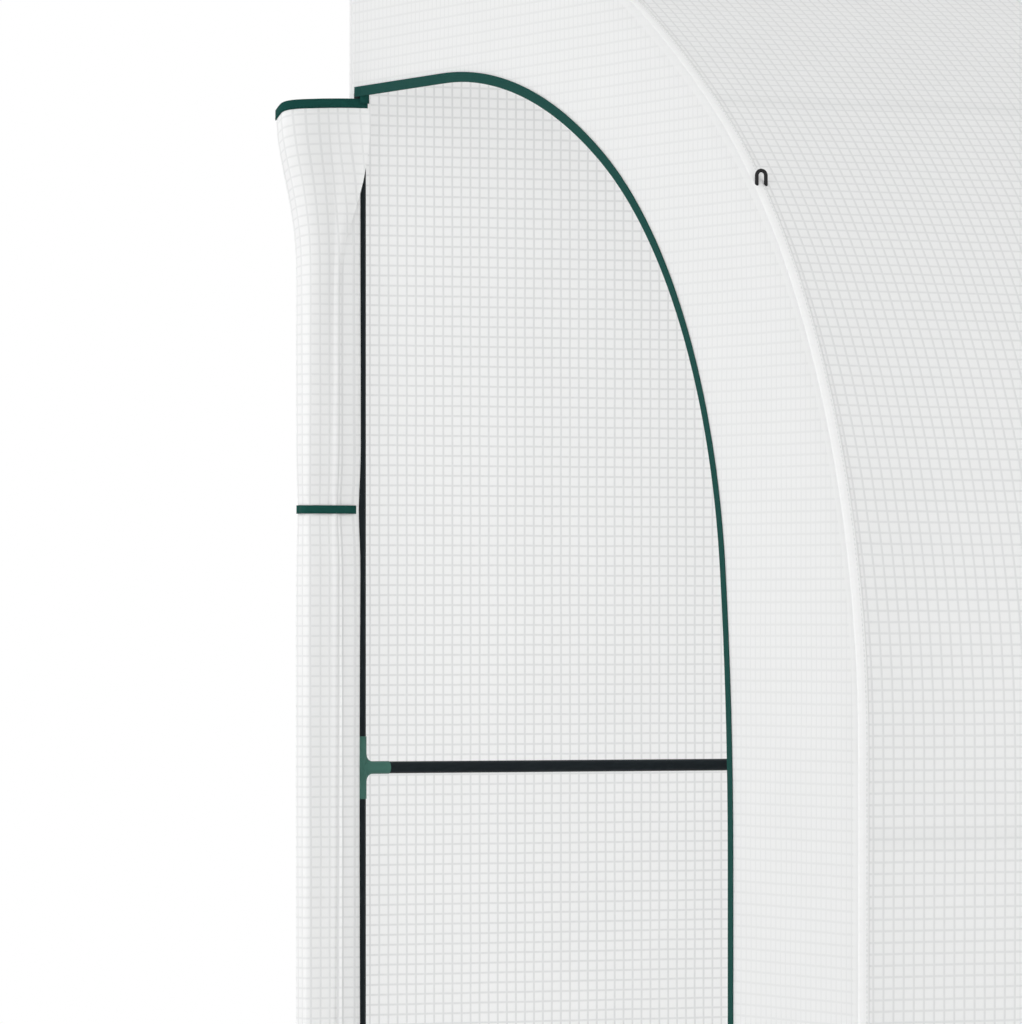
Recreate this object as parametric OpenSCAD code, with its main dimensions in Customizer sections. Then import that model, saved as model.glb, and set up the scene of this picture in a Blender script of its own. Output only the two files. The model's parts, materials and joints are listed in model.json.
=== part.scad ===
// Lean-to tunnel greenhouse: a steel tube frame under a sewn sheet cover, with a doorway
// at each end. Its tall flat back stands against a wall. Length runs along X, depth along Y
// with the wall side at +Y, and +Z is up. The origin is on the ground, in the middle.

/* [Overall size] */
// Length of the cover along the wall
length = 3000; // [2400:50:3600]
// Depth of the cover from the wall to the front
depth = 1500; // [1250:25:1800]
// Height of the cover at the wall
height = 2140; // [1790:10:2580]

/* [Roof curve] */
// Rise of the curve, from the top of the straight front to the ridge
roof_rise = 1133; // [1010:1:1250]
// Radius of the lower bend, where the front turns into the roof
bend_r = 960; // [800:1:990]

/* [Cover] */
// Thickness of the cover sheet
sheet_t = 1.5; // [0.5:0.1:2.5]
// Gap between the cover and what it lies on
cover_gap = 0.3; // [0.2:0.1:1]
// Width of the back sheet's turn round each corner post
return_w = 10; // [8:1:30]

/* [Tubes] */
// Outside diameter of the frame tubes
tube_d = 16; // [13:0.5:19]
// Wall of the frame tubes
tube_wall = 0.8; // [0.6:0.1:1.5]

/* [Connectors] */
// Wall of a connector's collar outside the tube's diameter
collar_wall = 0.8; // [0.5:0.1:1.5]
// Length of an arm, from the crossing of the axes to the end of its collar
arm_len = 41.5; // [30:0.5:60]
// Length of the plug past the collar, inside the tube
plug_len = 28; // [15:1:40]
// Gap round a plug, and between a tube's end and its collar
plug_gap = 0.2; // [0.1:0.05:0.4]
// Radius of the webs between the arms
web_r = 9; // [5:0.5:15]
// Thickness of the webs
web_t = 7; // [4:0.5:10]

/* [Rails] */
// Height of the rails along the ground
base_rail_z = 30; // [28:1:60]
// Height of the back's middle rail
back_rail_z = 965; // [700:5:1200]
// Drop of the front's middle rail below the top of the straight front
front_rail_drop = 99; // [80:1:200]

/* [Doorways] */
// Distance from the front to the doorway's edge
door_from_front = 330; // [330:5:400]
// Drop from the ridge to the top of the doorway
door_drop = 270; // [230:5:330]
// Radius of the doorway's gentle lower curve
door_low_r = 2792; // [2400:1:3200]
// Radius of the doorway's shoulder
door_shoulder_r = 688; // [640:1:720]
// Radius of the doorway's crown
door_crown_r = 1013; // [900:1:1050]
// Angle from upright where the shoulder begins
door_low_turn = 7.2; // [5:0.1:10]
// Angle from upright where the crown begins
door_shoulder_turn = 60.7; // [50:0.1:65]
// Width of the binding round the doorway
binding_w = 13; // [11:0.5:20]
// Thickness of the binding on each side of the sheet
binding_t = 0.9; // [0.5:0.1:2]
// Depth of the sheet's edge inside the binding
binding_tuck = 8; // [4:0.5:9]
// Distance from the doorway's edge to the middle of the jamb post
jamb_setback = 37; // [25:1:60]

/* [Door flaps] */
// Width of the gathered flap along the wall
flap_w = 74; // [60:1:90]
// Width of the flap's head
flap_head_w = 106; // [92:1:130]
// Thickness of the gathered flap
flap_t = 37; // [25:1:60]
// Height of the flap's lower edge
flap_foot_z = 20; // [5:1:60]
// Drop from the top of the doorway to the flap's top, beside the post
flap_drop = 17; // [14:1:40]
// Drop of the flap's top from the post to its outer corner
flap_slope = 19; // [5:1:40]
// Drop of the flap's outer edge from its head to where it is fully gathered
flap_gather = 250; // [150:5:400]
// Height of the tie
tie_z = 1308; // [1000:1:1350]
// Width of the tie's webbing
tie_w = 11; // [8:1:20]
// Thickness of the tie's webbing
tie_t = 1.2; // [0.8:0.1:2]
// Waist that the tie pulls into the flap, on each side
tie_pull = 4; // [3:0.5:8]

/* [Corner loops] */
// Angle of the loops round the lower bend, from its start
loop_turn = 44.5; // [30:0.5:48]
// Distance between a loop's legs
loop_w = 12; // [8:0.5:20]
// Height of a loop over the cover
loop_h = 19; // [12:0.5:30]
// Thickness of a loop
loop_t = 4.5; // [3:0.1:6]

/* [Hidden] */

// Facets of small rounds, and of a full turn of the bow
$fn = 40;
long_fn = 360;
// How far a cutting shape runs past what it cuts
past = 1;
// How far a plug on the bow starts inside its collar
plug_sink = 5;

FRAME = "#1b2624";
MOULDING = "#3c685e";
SHEET = "#eceeec";
EDGING = "#184640";
CORD = "#2b2b2b";

// Bays between the bows
BAYS = 3;

half_l = length / 2;
half_d = depth / 2;
tube_in_d = tube_d - 2 * tube_wall;
plug_d = tube_in_d - 2 * plug_gap;
collar_d = tube_d + 2 * collar_wall;
// Branches are a little slimmer than the run they leave
branch_d = collar_d - 0.6;
// From the cover's outer face to the middle of the tubes under it
inset = sheet_t + cover_gap + collar_d / 2;
front_y = -half_d + inset;
back_y = half_d - inset;
bay = (length - 2 * inset) / BAYS;
bow_x = [for (i = [0:BAYS]) (i - BAYS / 2) * bay];
// A tube starts just past the collar of its connector
tube_start = arm_len + plug_gap;

// Roof curve: straight front, lower bend, then one wide arc that is level at the wall
leg_h = height - roof_rise;
bend_turn = 90 - 2 * atan((roof_rise - bend_r) / (depth - bend_r));
roof_r = bend_r + (depth - bend_r) / cos(bend_turn);
bend_c = [-half_d + bend_r, leg_h];
roof_c = [half_d, height - roof_r];
bow_bend_r = bend_r - inset;
bow_roof_r = roof_r - inset;
ridge_turn = acos(inset / bow_roof_r);
ridge_z = roof_c[1] + bow_roof_r * sin(ridge_turn);
front_rail_z = leg_h - front_rail_drop;
// The purlin crosses where the bend ends. Its connectors are straight, so they sit a little
// inside the curve for their ends to meet the tubes.
purlin_sink = bow_bend_r * (1 - cos(arc_angle(arm_len, bow_bend_r)));
purlin_at = bend_c + (bow_bend_r - purlin_sink) * ray(bend_turn);

// Doorway curve, seen from the front: straight side, then three arcs to a level top
door_top = height - door_drop;
door_y = -half_d + door_from_front;
door_r = [door_low_r, door_shoulder_r, door_crown_r];
door_turn = [0, door_low_turn, door_shoulder_turn, 90];
door_rise = door_r[0] * sin(door_turn[1])
    + door_r[1] * (sin(door_turn[2]) - sin(door_turn[1]))
    + door_r[2] * (1 - sin(door_turn[2]));
door_spring = door_top - door_rise;
door_back = half_d - return_w;
binding_end = back_y - tube_d / 2 - cover_gap;
jamb_y = door_y - jamb_setback;

UP = [0, 0, 0];
ALONG = [0, 90, 0];
INWARD = [-90, 0, 0];
TO_RIGHT = 0;
TO_BACK = 90;
TO_LEFT = 180;
TO_FRONT = 270;

// Angle of a length along an arc
function arc_angle(len, r) = len / r * 180 / PI;
// Direction from an arc's centre at an angle turned from the front
function ray(angle) = [-cos(angle), sin(angle)];
// Centre of the doorway's k-th arc, each tangent to the one before
function door_c(k) = k == 0
    ? [door_y + door_r[0], door_spring]
    : door_c(k - 1) - (door_r[k] - door_r[k - 1]) * ray(door_turn[k]);
// Points of an arc of the outline, a chord for each degree or so, without its last point
function arc(c, r, from, to) = let (steps = ceil(to - from))
    [for (k = [0:to == 90 ? steps : steps - 1]) c + r * ray(from + (to - from) * k / steps)];
// Angle of the bow's bend a length before its end, and of its roof arc past its start or
// before the ridge
function bend_angle(before) = bend_turn - arc_angle(before, bow_bend_r);
function roof_angle(past_bend) = bend_turn + arc_angle(past_bend, bow_roof_r);
function ridge_angle(before) = ridge_turn - arc_angle(before, bow_roof_r);

// Extrudes a (Y, Z) outline along X, over a span of two places
module along_x(span) {
    translate([span[0], 0, 0]) rotate([90, 0, 90]) linear_extrude(span[1] - span[0])
        children();
}

// Block of the whole shelter over a span of X, pulled in from the front and roof
module under_roof(span, in = 0, foot = 0) {
    along_x(span) polygon(concat(
        [[half_d, foot], [-half_d + in, foot]],
        arc(bend_c, bend_r - in, 0, bend_turn),
        arc(roof_c, roof_r - in, bend_turn, 90)
    ));
}

// Block of the doorway over a span of X, pulled in from its curved edge, to a far side
module doorway(span, in = 0, far = half_d + past, foot = -past) {
    curve = [for (k = [0:2]) arc(door_c(k), door_r[k] - in, door_turn[k], door_turn[k + 1])];
    along_x(span) polygon(concat(
        [[far, foot], [door_y + in, foot]],
        curve[0], curve[1], curve[2],
        [[far, door_top - in]]
    ));
}

// Block over a span of X between two heights, from a place in Y back, to cut away
module block(span, y, from, to) {
    translate([span[0], y, from]) cube([span[1] - span[0], 2 * depth, to - from]);
}

// Straight tube of the frame that starts at a point
module pipe(at, dir, len) {
    translate(at) rotate(dir) linear_extrude(len) difference() {
        circle(d = tube_d);
        circle(d = tube_in_d);
    }
}

// Arc of round bar in the plane of the bow that stands at X = 0
module arc_bar(c, r, from, to, d) {
    translate([0, c[0], c[1]]) rotate([90, 0, -90]) rotate(from)
        rotate_extrude(angle = to - from, $fn = long_fn) translate([r, 0])
            circle(d = d, $fn = 40);
}

module bend_bar(from, to, d) arc_bar(bend_c, bow_bend_r, from, to, d);
module roof_bar(from, to, d) arc_bar(roof_c, bow_roof_r, from, to, d);

// Arm of a connector along local Z: a collar, and a plug inside the tube
module arm(collar, reach, plug = true) {
    cylinder(d = collar, h = reach);
    if (plug) cylinder(d = plug_d, h = reach + plug_len);
}

// Rounded web between a run along Z and a branch along X
module web() {
    // The web's curve dips into both arms a little
    dip = 0.4;
    corner = [collar_d / 2 + web_r - dip, branch_d / 2 + web_r - dip];
    rotate([90, 0, 0]) linear_extrude(web_t, center = true) difference() {
        square(corner);
        translate(corner) circle(web_r);
    }
}

// Branches at angles about a run along Z, with webs above and below
module branches(sides, web_above = true, web_below = true) {
    for (side = sides) rotate(side) {
        rotate(ALONG) arm(branch_d, arm_len);
        if (web_above) web();
        if (web_below) mirror([0, 0, 1]) web();
    }
}

// Connector with an upright run; at a stop the run ends short, with no plug
module connector(at, sides, above = arm_len, below = arm_len) {
    translate(at) {
        arm(collar_d, above, above == arm_len);
        mirror([0, 0, 1]) arm(collar_d, below, below == arm_len);
        branches(sides, above == arm_len, below > collar_d);
    }
}

// Sides on which the rails leave the connector of bow i
function rail_sides(i) = concat(i < BAYS ? [TO_RIGHT] : [], i > 0 ? [TO_LEFT] : []);

// Tubes of the bays between the bows, at one place in the outline
module bay_rails(y, z) {
    color(FRAME) for (i = [0:BAYS - 1])
        pipe([bow_x[i] + tube_start, y, z], ALONG, bay - 2 * tube_start);
}

// Upright back tubes of one bow, below and above the middle rail
module back_post(n) {
    color(FRAME) for (span = [[base_rail_z, back_rail_z], [back_rail_z, ridge_z]])
        pipe([bow_x[n - 1], back_y, span[0] + tube_start], UP,
            span[1] - span[0] - 2 * tube_start);
}

// Front tubes of one bow: the straight one by the ground and the bent one above it
module front_bow(n) {
    foot = front_rail_z + tube_start;
    color(FRAME) translate([bow_x[n - 1], 0, 0]) {
        pipe([0, front_y, base_rail_z + tube_start], UP,
            front_rail_z - base_rail_z - 2 * tube_start);
        difference() {
            bent_bar(foot, tube_d);
            bent_bar(foot, tube_in_d);
        }
    }
}

// Straight bar that runs from a height into the bend, as far as the purlin's connector
module bent_bar(foot, d) {
    translate([0, front_y, foot]) rotate(TO_FRONT) cylinder(d = d, h = leg_h - foot);
    bend_bar(0, bend_angle(tube_start), d);
}

// Roof tube of one bow, from the purlin to the ridge
module roof_bow(n) {
    color(FRAME) translate([bow_x[n - 1], 0, 0]) difference() {
        roof_bar(roof_angle(tube_start), ridge_angle(tube_start), tube_d);
        roof_bar(roof_angle(tube_start), ridge_angle(tube_start), tube_in_d);
    }
}

module ridge_rails() bay_rails(back_y, ridge_z);
module roof_purlins() bay_rails(purlin_at[0], purlin_at[1]);
module front_mid_rails() bay_rails(front_y, front_rail_z);
module front_base_rails() bay_rails(front_y, base_rail_z);
module back_mid_rails() bay_rails(back_y, back_rail_z);
module back_base_rails() bay_rails(back_y, base_rail_z);

// Corner pieces at the ridge: down the post, along the ridge and forward into the bow
module ridge_connectors() {
    color(MOULDING) for (i = [0:BAYS]) {
        connector([bow_x[i], back_y, ridge_z], rail_sides(i), above = collar_d / 2);
        translate([bow_x[i], 0, 0]) {
            roof_bar(ridge_angle(arm_len), ridge_turn, branch_d);
            roof_bar(ridge_angle(arm_len + plug_len), ridge_turn, plug_d);
            translate([0, back_y, ridge_z]) mirror([0, 0, 1]) rotate(TO_FRONT) web();
        }
    }
}

// Crosses on the bows that carry the purlins; the plugs follow the bow's two arcs. The collar
// ends a gap early, because the tubes' ends are a little askew to it.
module purlin_connectors() {
    color(MOULDING) for (i = [0:BAYS]) translate([bow_x[i], 0, 0]) {
        translate([0, purlin_at[0], purlin_at[1]]) rotate([-bend_turn, 0, 0]) {
            cylinder(d = collar_d, h = 2 * (arm_len - plug_gap), center = true);
            branches(rail_sides(i));
        }
        bend_bar(bend_angle(arm_len + plug_len), bend_angle(arm_len - plug_sink), plug_d);
        roof_bar(roof_angle(arm_len - plug_sink), roof_angle(arm_len + plug_len), plug_d);
    }
}

// Tees and crosses at the front's middle rail; the end ones carry a jamb rail too
module front_mid_connectors() {
    color(MOULDING) for (i = [0:BAYS]) {
        jamb_side = i == 0 || i == BAYS ? [TO_BACK] : [];
        connector([bow_x[i], front_y, front_rail_z], concat(rail_sides(i), jamb_side));
    }
}

// Feet at the front: the run stands on the ground
module front_base_connectors() {
    color(MOULDING) for (i = [0:BAYS]) {
        jamb_side = i == 0 || i == BAYS ? [TO_BACK] : [];
        connector([bow_x[i], front_y, base_rail_z], concat(rail_sides(i), jamb_side),
            below = base_rail_z);
    }
}

module back_mid_connectors() {
    color(MOULDING) for (i = [0:BAYS])
        connector([bow_x[i], back_y, back_rail_z], rail_sides(i));
}

module back_base_connectors() {
    color(MOULDING) for (i = [0:BAYS])
        connector([bow_x[i], back_y, base_rail_z], rail_sides(i), below = base_rail_z);
}

// Post beside the doorway, as high as the front's middle rail
module jamb_post() {
    color(FRAME) pipe([bow_x[0], jamb_y, base_rail_z + tube_start], UP,
        front_rail_z - base_rail_z - 2 * tube_start);
}

// Short rails from the front to the jamb post, at its top and by the ground
module jamb_rails() {
    color(FRAME) for (z = [base_rail_z, front_rail_z])
        pipe([bow_x[0], front_y + tube_start, z], INWARD,
            jamb_y - front_y - 2 * tube_start);
}

module jamb_connectors() {
    color(MOULDING) {
        connector([bow_x[0], jamb_y, front_rail_z], [TO_FRONT], above = collar_d / 2);
        connector([bow_x[0], jamb_y, base_rail_z], [TO_FRONT], below = base_rail_z);
    }
}

// One sheet from the ground at the front, over the roof, to the wall
module cover_front_roof() {
    span = [-half_l + sheet_t, half_l - sheet_t];
    cut = span + [-past, past];
    color(SHEET) difference() {
        under_roof(span);
        under_roof(cut, sheet_t, -past);
        block(cut, half_d - sheet_t, -past, height + past);
    }
}

// Flat sheet along the wall, turned round the corner posts beside each doorway
module cover_back() {
    color(SHEET) {
        translate([-half_l, half_d - sheet_t, 0]) cube([length, sheet_t, height]);
        for (x = [-half_l, half_l - sheet_t])
            translate([x, door_back, 0])
                cube([sheet_t, return_w - sheet_t, door_top - binding_tuck]);
    }
}

// Sheet of the left end between two heights, round the doorway
module end_sheet(from, to) {
    span = [-half_l, -half_l + sheet_t];
    cut = span + [-past, past];
    color(SHEET) difference() {
        under_roof(span);
        doorway(cut, binding_tuck);
        block(cut, half_d - sheet_t, -past, height + past);
        if (from > 0) block(cut, -depth, -past, from);
        if (to < height) block(cut, -depth, to, height + past);
    }
}

module end_side_panel() end_sheet(0, leg_h);
module end_top_panel() end_sheet(leg_h, height);

// Band of the binding over a span of X, from a distance in from the doorway's edge
module binding_band(span, from) {
    difference() {
        doorway(span, from, binding_end, 0);
        doorway(span + [-past, past], binding_w);
    }
}

// Folded tape that takes in the sheet's edge round the doorway
module door_binding() {
    slot = [-half_l - cover_gap, -half_l + sheet_t + cover_gap];
    color(EDGING) {
        binding_band([slot[0] - binding_t, slot[0]], 0);
        binding_band(slot, binding_tuck + cover_gap);
        binding_band([slot[1], slot[1] + binding_t], 0);
    }
}

// The door's sheet, unzipped and gathered outside the corner post
module door_flap() {
    waist = cover_gap + tie_t + cover_gap;
    tie_low = tie_z - tie_w / 2 - cover_gap;
    tie_high = tie_z + tie_w / 2 + cover_gap;
    top = door_top - flap_drop;
    outline = [
        [cover_gap, flap_foot_z],
        [cover_gap, tie_low],
        [waist, tie_low],
        [waist, tie_high],
        [cover_gap, tie_high],
        [cover_gap, top],
        [flap_head_w, top - flap_slope],
        [flap_w, top - flap_slope - flap_gather],
        [flap_w, tie_high],
        [flap_w - tie_pull, tie_high],
        [flap_w - tie_pull, tie_low],
        [flap_w, tie_low],
        [flap_w, flap_foot_z]
    ];
    color(SHEET) difference() {
        translate([-half_l, half_d - cover_gap, 0]) rotate([90, 0, 0])
            linear_extrude(flap_t) mirror([1, 0]) polygon(outline);
        for (y = [half_d - cover_gap - tie_pull, half_d - flap_t - cover_gap - past])
            translate([-half_l - flap_w - past, y, tie_low])
                cube([flap_w + 2 * past, tie_pull + past, tie_high - tie_low]);
    }
}

// Webbing round the flap's waist
module flap_tie() {
    inner = [flap_w - tie_pull - tie_t, flap_t - 2 * tie_pull + 2 * cover_gap];
    color(EDGING)
        translate([-half_l - cover_gap - tie_t - inner[0],
            half_d - flap_t - cover_gap + tie_pull - cover_gap, tie_z - tie_w / 2])
            linear_extrude(tie_w) difference() {
                translate([-tie_t, -tie_t]) square(inner + 2 * [tie_t, tie_t]);
                square(inner);
            }
}

// Cord loop that stands on the cover beside the left end's seam
module corner_loop() {
    foot = bend_c + bend_r * ray(loop_turn);
    bend = loop_w / 2;
    color(CORD) difference() {
        translate([-half_l + bend + loop_t, foot[0], foot[1] + loop_h - bend - loop_t / 2])
            rotate([90, 0, 0]) {
                rotate_extrude(angle = 180) translate([bend, 0]) circle(d = loop_t);
                for (x = [-bend, bend]) translate([x, 0, 0]) rotate([90, 0, 0])
                    cylinder(d = loop_t, h = loop_h);
            }
        under_roof([-half_l - past, -half_l + 2 * loop_w + past], -cover_gap);
    }
}

module right() mirror([1, 0, 0]) children();

module corner_loops() {
    corner_loop();
    right() corner_loop();
}

back_post(1);  // back_post_1
back_post(2);  // back_post_2
back_post(3);  // back_post_3
back_post(4);  // back_post_4
front_bow(1);  // front_bow_1
front_bow(2);  // front_bow_2
front_bow(3);  // front_bow_3
front_bow(4);  // front_bow_4
roof_bow(1);  // roof_bow_1
roof_bow(2);  // roof_bow_2
roof_bow(3);  // roof_bow_3
roof_bow(4);  // roof_bow_4
ridge_rails();
roof_purlins();
front_mid_rails();
front_base_rails();
back_mid_rails();
back_base_rails();
ridge_connectors();
purlin_connectors();
front_mid_connectors();
front_base_connectors();
back_mid_connectors();
back_base_connectors();
jamb_post();  // left_jamb_post
jamb_rails();  // left_jamb_rails
jamb_connectors();  // left_jamb_connectors
right() jamb_post();  // right_jamb_post
right() jamb_rails();  // right_jamb_rails
right() jamb_connectors();  // right_jamb_connectors
cover_front_roof();
cover_back();
end_side_panel();  // left_end_side_panel
end_top_panel();  // left_end_top_panel
right() end_side_panel();  // right_end_side_panel
right() end_top_panel();  // right_end_top_panel
door_binding();  // left_door_binding
right() door_binding();  // right_door_binding
door_flap();  // left_door_flap
right() door_flap();  // right_door_flap
flap_tie();  // left_flap_tie
right() flap_tie();  // right_flap_tie
corner_loops();
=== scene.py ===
# %% [markdown]
# # A lean-to tunnel greenhouse
# The real thing is a frame of steel tubes, pushed together with moulded connectors, under a
# sewn cover of grid-reinforced sheet. The frame's tubes and connectors come from the CAD model
# and only get their finish here. Everything made of cloth is modelled in this lesson as cloth:
# the cover, the gathered door flaps, the tapes, the seams and the stitches.

# %% Load the frame
import json
import math

import bpy
from mathutils import Vector, noise
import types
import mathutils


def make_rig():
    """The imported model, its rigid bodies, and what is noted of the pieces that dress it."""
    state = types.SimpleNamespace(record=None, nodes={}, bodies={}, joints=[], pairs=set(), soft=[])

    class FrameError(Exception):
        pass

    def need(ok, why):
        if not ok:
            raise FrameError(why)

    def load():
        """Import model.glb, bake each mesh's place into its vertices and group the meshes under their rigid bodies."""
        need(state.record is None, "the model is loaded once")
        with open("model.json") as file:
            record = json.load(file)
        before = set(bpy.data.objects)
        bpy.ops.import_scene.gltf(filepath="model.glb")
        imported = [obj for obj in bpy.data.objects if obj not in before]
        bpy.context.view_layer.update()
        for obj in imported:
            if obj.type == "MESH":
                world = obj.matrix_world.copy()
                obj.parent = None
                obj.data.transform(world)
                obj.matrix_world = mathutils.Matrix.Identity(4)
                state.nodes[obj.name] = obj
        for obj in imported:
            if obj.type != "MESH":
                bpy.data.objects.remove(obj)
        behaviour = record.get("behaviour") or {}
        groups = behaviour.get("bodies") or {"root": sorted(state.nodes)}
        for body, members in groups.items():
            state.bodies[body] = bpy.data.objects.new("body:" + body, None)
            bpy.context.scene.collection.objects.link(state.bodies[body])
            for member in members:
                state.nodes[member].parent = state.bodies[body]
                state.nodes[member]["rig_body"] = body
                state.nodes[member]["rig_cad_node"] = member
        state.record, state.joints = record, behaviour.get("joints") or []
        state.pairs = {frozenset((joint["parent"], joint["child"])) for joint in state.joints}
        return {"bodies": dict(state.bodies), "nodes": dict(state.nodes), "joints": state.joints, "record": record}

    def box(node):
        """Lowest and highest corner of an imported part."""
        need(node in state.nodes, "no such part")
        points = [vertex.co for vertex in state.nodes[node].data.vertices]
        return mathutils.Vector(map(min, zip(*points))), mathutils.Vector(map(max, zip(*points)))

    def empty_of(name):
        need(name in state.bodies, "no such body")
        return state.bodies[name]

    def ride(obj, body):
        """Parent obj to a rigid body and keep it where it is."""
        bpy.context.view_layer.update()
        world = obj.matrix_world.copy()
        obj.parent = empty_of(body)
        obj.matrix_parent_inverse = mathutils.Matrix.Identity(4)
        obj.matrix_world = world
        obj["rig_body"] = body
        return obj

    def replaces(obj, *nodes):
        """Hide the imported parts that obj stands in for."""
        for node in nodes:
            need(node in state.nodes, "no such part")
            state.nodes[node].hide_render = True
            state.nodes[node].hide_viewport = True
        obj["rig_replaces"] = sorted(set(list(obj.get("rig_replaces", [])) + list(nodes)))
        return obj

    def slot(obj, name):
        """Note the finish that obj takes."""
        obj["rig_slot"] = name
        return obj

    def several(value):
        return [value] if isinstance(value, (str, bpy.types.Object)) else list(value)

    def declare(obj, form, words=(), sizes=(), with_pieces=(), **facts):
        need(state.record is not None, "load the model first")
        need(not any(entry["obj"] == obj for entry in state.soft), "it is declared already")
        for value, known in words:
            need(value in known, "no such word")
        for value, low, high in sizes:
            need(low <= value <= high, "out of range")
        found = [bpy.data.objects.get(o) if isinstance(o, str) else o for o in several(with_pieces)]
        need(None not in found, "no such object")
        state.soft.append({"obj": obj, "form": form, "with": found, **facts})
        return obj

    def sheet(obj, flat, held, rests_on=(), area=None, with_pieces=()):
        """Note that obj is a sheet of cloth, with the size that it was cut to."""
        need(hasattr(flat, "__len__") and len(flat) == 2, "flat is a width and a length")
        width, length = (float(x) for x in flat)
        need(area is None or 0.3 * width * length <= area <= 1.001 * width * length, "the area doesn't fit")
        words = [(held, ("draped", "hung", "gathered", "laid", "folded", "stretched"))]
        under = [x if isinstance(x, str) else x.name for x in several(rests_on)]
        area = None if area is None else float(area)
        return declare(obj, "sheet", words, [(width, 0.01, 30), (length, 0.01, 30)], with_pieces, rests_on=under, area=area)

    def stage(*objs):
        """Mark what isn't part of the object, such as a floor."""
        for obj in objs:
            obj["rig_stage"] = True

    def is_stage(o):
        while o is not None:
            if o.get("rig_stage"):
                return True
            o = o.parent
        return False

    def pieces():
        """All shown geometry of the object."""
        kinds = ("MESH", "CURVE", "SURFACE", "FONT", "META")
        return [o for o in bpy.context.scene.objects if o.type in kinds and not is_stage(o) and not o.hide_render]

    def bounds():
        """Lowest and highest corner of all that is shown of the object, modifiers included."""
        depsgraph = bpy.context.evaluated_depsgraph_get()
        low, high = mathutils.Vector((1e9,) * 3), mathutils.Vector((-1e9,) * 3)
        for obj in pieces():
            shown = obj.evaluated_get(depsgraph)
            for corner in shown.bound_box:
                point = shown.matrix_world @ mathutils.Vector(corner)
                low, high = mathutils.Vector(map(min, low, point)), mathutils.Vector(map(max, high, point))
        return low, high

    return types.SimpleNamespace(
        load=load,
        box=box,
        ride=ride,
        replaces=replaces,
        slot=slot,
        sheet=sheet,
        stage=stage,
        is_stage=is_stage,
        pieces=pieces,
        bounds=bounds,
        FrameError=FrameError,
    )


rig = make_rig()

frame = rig.load()
cad_low, cad_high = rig.bounds()
print("CAD nodes:", len(frame["nodes"]), "box:", tuple(cad_low), tuple(cad_high))

# %% [markdown]
# ## Sizes
# The cover's outer box is read from the frame, so the cloth always fits the tubes. The roof's
# curve is a straight front, a lower bend and one wide arc that is level at the wall. The
# doorway's curve is a straight side and three arcs.

# %% Outline of the cover and of the doorway
cover_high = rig.box("cover_back")[1]
HALF_L, WALL_Y, TOP_Z = cover_high.x, cover_high.y, cover_high.z
FRONT_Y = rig.box("cover_front_roof")[0].y
ROOF_RISE, BEND_R = 1.133, 0.960
DOOR_FROM_FRONT, DOOR_DROP = 0.330, 0.270
DOOR_RADII = (2.792, 0.688, 1.013)
DOOR_TURNS = tuple(math.radians(a) for a in (0, 7.2, 60.7, 90))
DOOR_TUCK = 0.008
POST_RETURN = 0.010
SIDE_STEPS = 30
ENDS = {"left": -1, "right": 1}

LEG = TOP_Z - ROOF_RISE
DEPTH = WALL_Y - FRONT_Y
BEND_TURN = math.pi / 2 - 2 * math.atan((ROOF_RISE - BEND_R) / (DEPTH - BEND_R))
ROOF_R = BEND_R + (DEPTH - BEND_R) / math.cos(BEND_TURN)
BEND_LEN = BEND_R * BEND_TURN
PROFILE_LEN = LEG + BEND_LEN + ROOF_R * (math.pi / 2 - BEND_TURN)

# Where the frame lies behind the sheets: the outer bows, the bays between bows, and the rails
OUTER_BOW_X = HALF_L - 0.0106
BAY = 2 * OUTER_BOW_X / 3
GROUND_RAIL_AT, BACK_RAIL_AT = 0.030, 0.965
FRONT_RAIL_AT = LEG - 0.099
PURLIN_AT = LEG + BEND_LEN


def profile(s):
    """Place (y, z) and outward direction (y, z) at a length s along the cover from the ground."""
    if s <= LEG:
        return (FRONT_Y, s), (-1.0, 0.0)
    if s <= LEG + BEND_LEN:
        turn, r, centre = (s - LEG) / BEND_R, BEND_R, (FRONT_Y + BEND_R, LEG)
    else:
        turn = BEND_TURN + (s - LEG - BEND_LEN) / ROOF_R
        r, centre = ROOF_R, (WALL_Y, TOP_Z - ROOF_R)
    out = (-math.cos(turn), math.sin(turn))
    return (centre[0] + r * out[0], centre[1] + r * out[1]), out


def doorway_curve(inside=0.0):
    """Points (y, z) of the doorway's edge, from the ground to the wall, pulled in by inside."""
    top, side = TOP_Z - DOOR_DROP, FRONT_Y + DOOR_FROM_FRONT
    rise = sum(r * (math.sin(b) - math.sin(a))
               for r, a, b in zip(DOOR_RADII, DOOR_TURNS, DOOR_TURNS[1:]))
    points = [(side + inside, (top - rise) * i / SIDE_STEPS) for i in range(SIDE_STEPS)]
    centre = Vector((side + DOOR_RADII[0], top - rise))
    for k, r in enumerate(DOOR_RADII):
        start, end = DOOR_TURNS[k], DOOR_TURNS[k + 1]
        if k:
            before = DOOR_RADII[k - 1]
            centre += (r - before) * Vector((math.cos(start), -math.sin(start)))
        steps = max(8, round(math.degrees(end - start)))
        for i in range(steps):
            turn = start + (end - start) * i / steps
            ray = Vector((-math.cos(turn), math.sin(turn)))
            points.append(tuple(centre + (r - inside) * ray))
    points.append((centre.x, top - inside))
    points.append((WALL_Y - POST_RETURN, top - inside))
    return points


def spaced(points, count):
    """count + 1 places evenly spread along a run of points."""
    points = [Vector(p) for p in points]
    along = [0.0]
    for a, b in zip(points, points[1:]):
        along.append(along[-1] + (b - a).length)
    found, k = [], 0
    for i in range(count + 1):
        at = along[-1] * i / count
        while k < len(points) - 2 and along[k + 1] < at:
            k += 1
        share = (at - along[k]) / max(along[k + 1] - along[k], 1e-9)
        found.append(points[k].lerp(points[k + 1], min(1.0, share)))
    return found, along[-1]


print("leg", round(LEG, 3), "profile", round(PROFILE_LEN, 3), "door edge",
      round(spaced(doorway_curve(), 10)[1], 3))

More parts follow.
